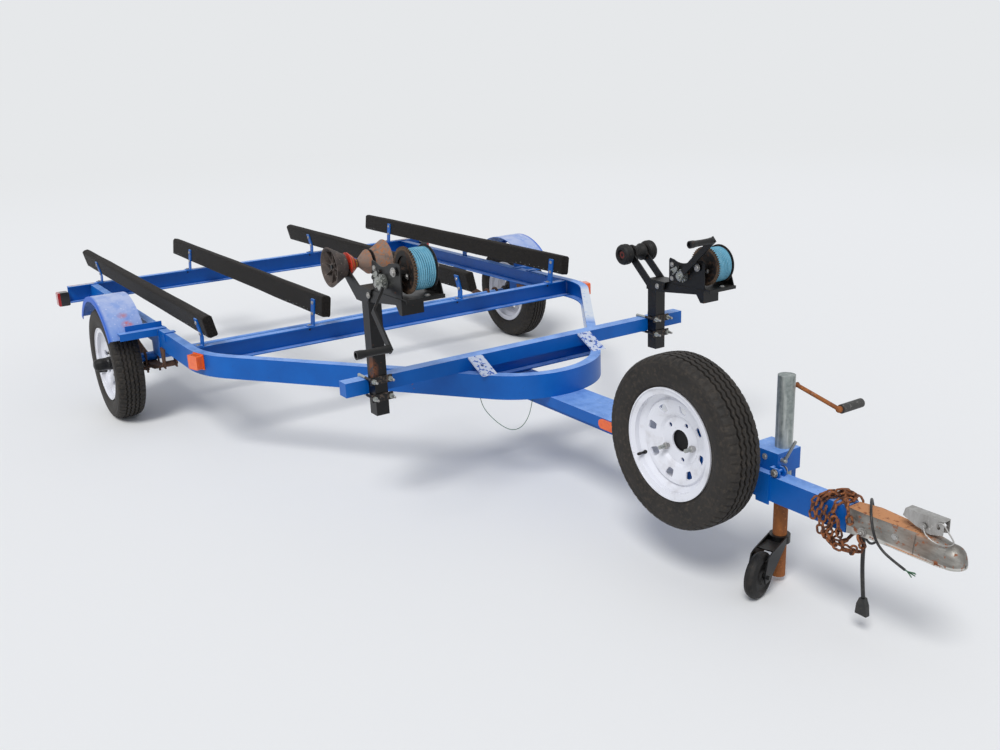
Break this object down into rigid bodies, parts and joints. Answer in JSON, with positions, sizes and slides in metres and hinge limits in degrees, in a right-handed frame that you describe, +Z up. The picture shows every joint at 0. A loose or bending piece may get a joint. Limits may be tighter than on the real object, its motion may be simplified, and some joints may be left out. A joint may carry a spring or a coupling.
{
  "type": "boat trailer",
  "caption": "Two-place bunk trailer for small watercraft: bent channel frame, leaf springs, disc wheels, geared bow winches, caster jack and a spare wheel on the tongue.",
  "frame": {"origin": "on the floor under the middle of the trailer's whole length, on its centre line", "axes": "+X forward to the coupler, +Y to the left, +Z up"},
  "size_m": [4.961, 2.454, 0.9887],
  "materials": {
    "black_hub_paint": "gloss",
    "black_paint": "semi-gloss, worn",
    "blue_paint": "gloss, worn, rust at edges",
    "bunk_carpet": "matted outdoor carpet",
    "cord_jacket": "flexible jacket",
    "faded_blue_paint": "chalky, faded",
    "galvanised_steel": "dull zinc",
    "orange_lens": "moulded lens",
    "red_lens": "moulded lens",
    "roller_rubber": "worn",
    "rusty_steel": "rusted",
    "tyre_rubber": "weathered",
    "white_rim_paint": "gloss",
    "winch_rope": "twisted poly rope",
    "worn_blue_paint": "peeling, with rust"
  },
  "bodies": {
    "trailer": {"axle": "black_paint", "bunk_brackets": "blue_paint", "bunk_inner_left": "bunk_carpet", "bunk_inner_right": "bunk_carpet", "bunk_outer_left": "bunk_carpet", "bunk_outer_right": "bunk_carpet", "coupler": "worn_blue_paint", "coupler_latch": "black_paint", "crossbar_tie_plates": "worn_blue_paint", "earth_lead": "cord_jacket", "fender_brackets": "blue_paint", "front_crossmember": "blue_paint", "jack_bracket": "blue_paint", "jack_crank": "rusty_steel", "jack_tube": "galvanised_steel", "leaf_springs": "black_paint", "left_fender": "faded_blue_paint", "left_front_rail": "blue_paint", "left_side_rail": "blue_paint", "left_winch_frame": "black_paint", "left_winch_post": "black_paint", "light_plug": "cord_jacket", "nose_crossmember": "blue_paint", "nose_hoop": "blue_paint", "nose_wire": "cord_jacket", "plug_lead": "cord_jacket", "post_clamps": "galvanised_steel", "rear_crossmember": "blue_paint", "right_fender": "faded_blue_paint", "right_front_rail": "blue_paint", "right_side_rail": "blue_paint", "right_winch_frame": "black_paint", "right_winch_post": "black_paint", "roller_arms": "black_paint", "side_markers": "orange_lens", "spare_carrier": "blue_paint", "spare_rim": "white_rim_paint", "spare_tyre": "tyre_rubber", "spring_hangers": "black_paint", "tail_lights": "red_lens", "tongue_side_bars": "blue_paint", "tongue_tube": "blue_paint", "winch_crossbar": "blue_paint"},
    "right_wheel": {"right_tyre": "tyre_rubber", "right_rim": "white_rim_paint", "right_hub": "black_hub_paint"},
    "left_wheel": {"left_tyre": "tyre_rubber", "left_rim": "white_rim_paint", "left_hub": "black_hub_paint"},
    "jack_leg": {"jack_leg": "rusty_steel"},
    "caster_fork": {"caster_fork": "black_paint"},
    "caster_wheel": {"caster_wheel": "roller_rubber"},
    "right_winch_drum": {"right_winch_drum": "rusty_steel", "right_winch_rope": "winch_rope"},
    "right_winch_crank": {"right_winch_crank": "black_paint"},
    "right_bow_roller": {"right_bow_roller": "roller_rubber"},
    "left_winch_drum": {"left_winch_drum": "rusty_steel", "left_winch_rope": "winch_rope"},
    "left_winch_crank": {"left_winch_crank": "black_paint"},
    "left_bow_roller": {"left_bow_roller": "roller_rubber"}
  },
  "joints": [
    {"name": "right_wheel_spin", "type": "hinge", "parent": "trailer", "child": "right_wheel", "pos_m": [-1.0805, -1.122, 0.262], "axis": [0, 1, 0], "continuous": true},
    {"name": "left_wheel_spin", "type": "hinge", "parent": "trailer", "child": "left_wheel", "pos_m": [-1.0805, 1.122, 0.262], "axis": [0, 1, 0], "continuous": true},
    {"name": "jack_leg_slide", "type": "slide", "parent": "trailer", "child": "jack_leg", "axis": [0, 0, 1], "range_m": [-0.12, 0.13]},
    {"name": "caster_swivel", "type": "hinge", "parent": "jack_leg", "child": "caster_fork", "pos_m": [1.8675, 0.056, 0.153], "axis": [0, 0, 1], "continuous": true},
    {"name": "caster_wheel_spin", "type": "hinge", "parent": "caster_fork", "child": "caster_wheel", "pos_m": [1.89985, -0.06474, 0.07], "axis": [0.9659, 0.2588, 0], "continuous": true},
    {"name": "right_drum_spin", "type": "hinge", "parent": "trailer", "child": "right_winch_drum", "pos_m": [0.9545, -0.617, 0.914], "axis": [0, 1, 0], "continuous": true},
    {"name": "right_crank_spin", "type": "hinge", "parent": "trailer", "child": "right_winch_crank", "pos_m": [0.87503, -0.657, 0.87175], "axis": [0, 1, 0], "continuous": true},
    {"name": "right_roller_spin", "type": "hinge", "parent": "trailer", "child": "right_bow_roller", "pos_m": [0.6025, -0.657, 0.889], "axis": [0, 1, 0], "continuous": true},
    {"name": "left_drum_spin", "type": "hinge", "parent": "trailer", "child": "left_winch_drum", "pos_m": [0.9795, 0.646, 0.754], "axis": [0, 1, 0], "continuous": true},
    {"name": "left_crank_spin", "type": "hinge", "parent": "trailer", "child": "left_winch_crank", "pos_m": [0.90003, 0.606, 0.71175], "axis": [0, 1, 0], "continuous": true},
    {"name": "left_roller_spin", "type": "hinge", "parent": "trailer", "child": "left_bow_roller", "pos_m": [0.6025, 0.606, 0.761], "axis": [0, 1, 0], "continuous": true}
  ],
  "couplings": [
    {"joint": "right_crank_spin", "follows": "right_drum_spin", "ratio": -4},
    {"joint": "left_crank_spin", "follows": "left_drum_spin", "ratio": -4}
  ]
}
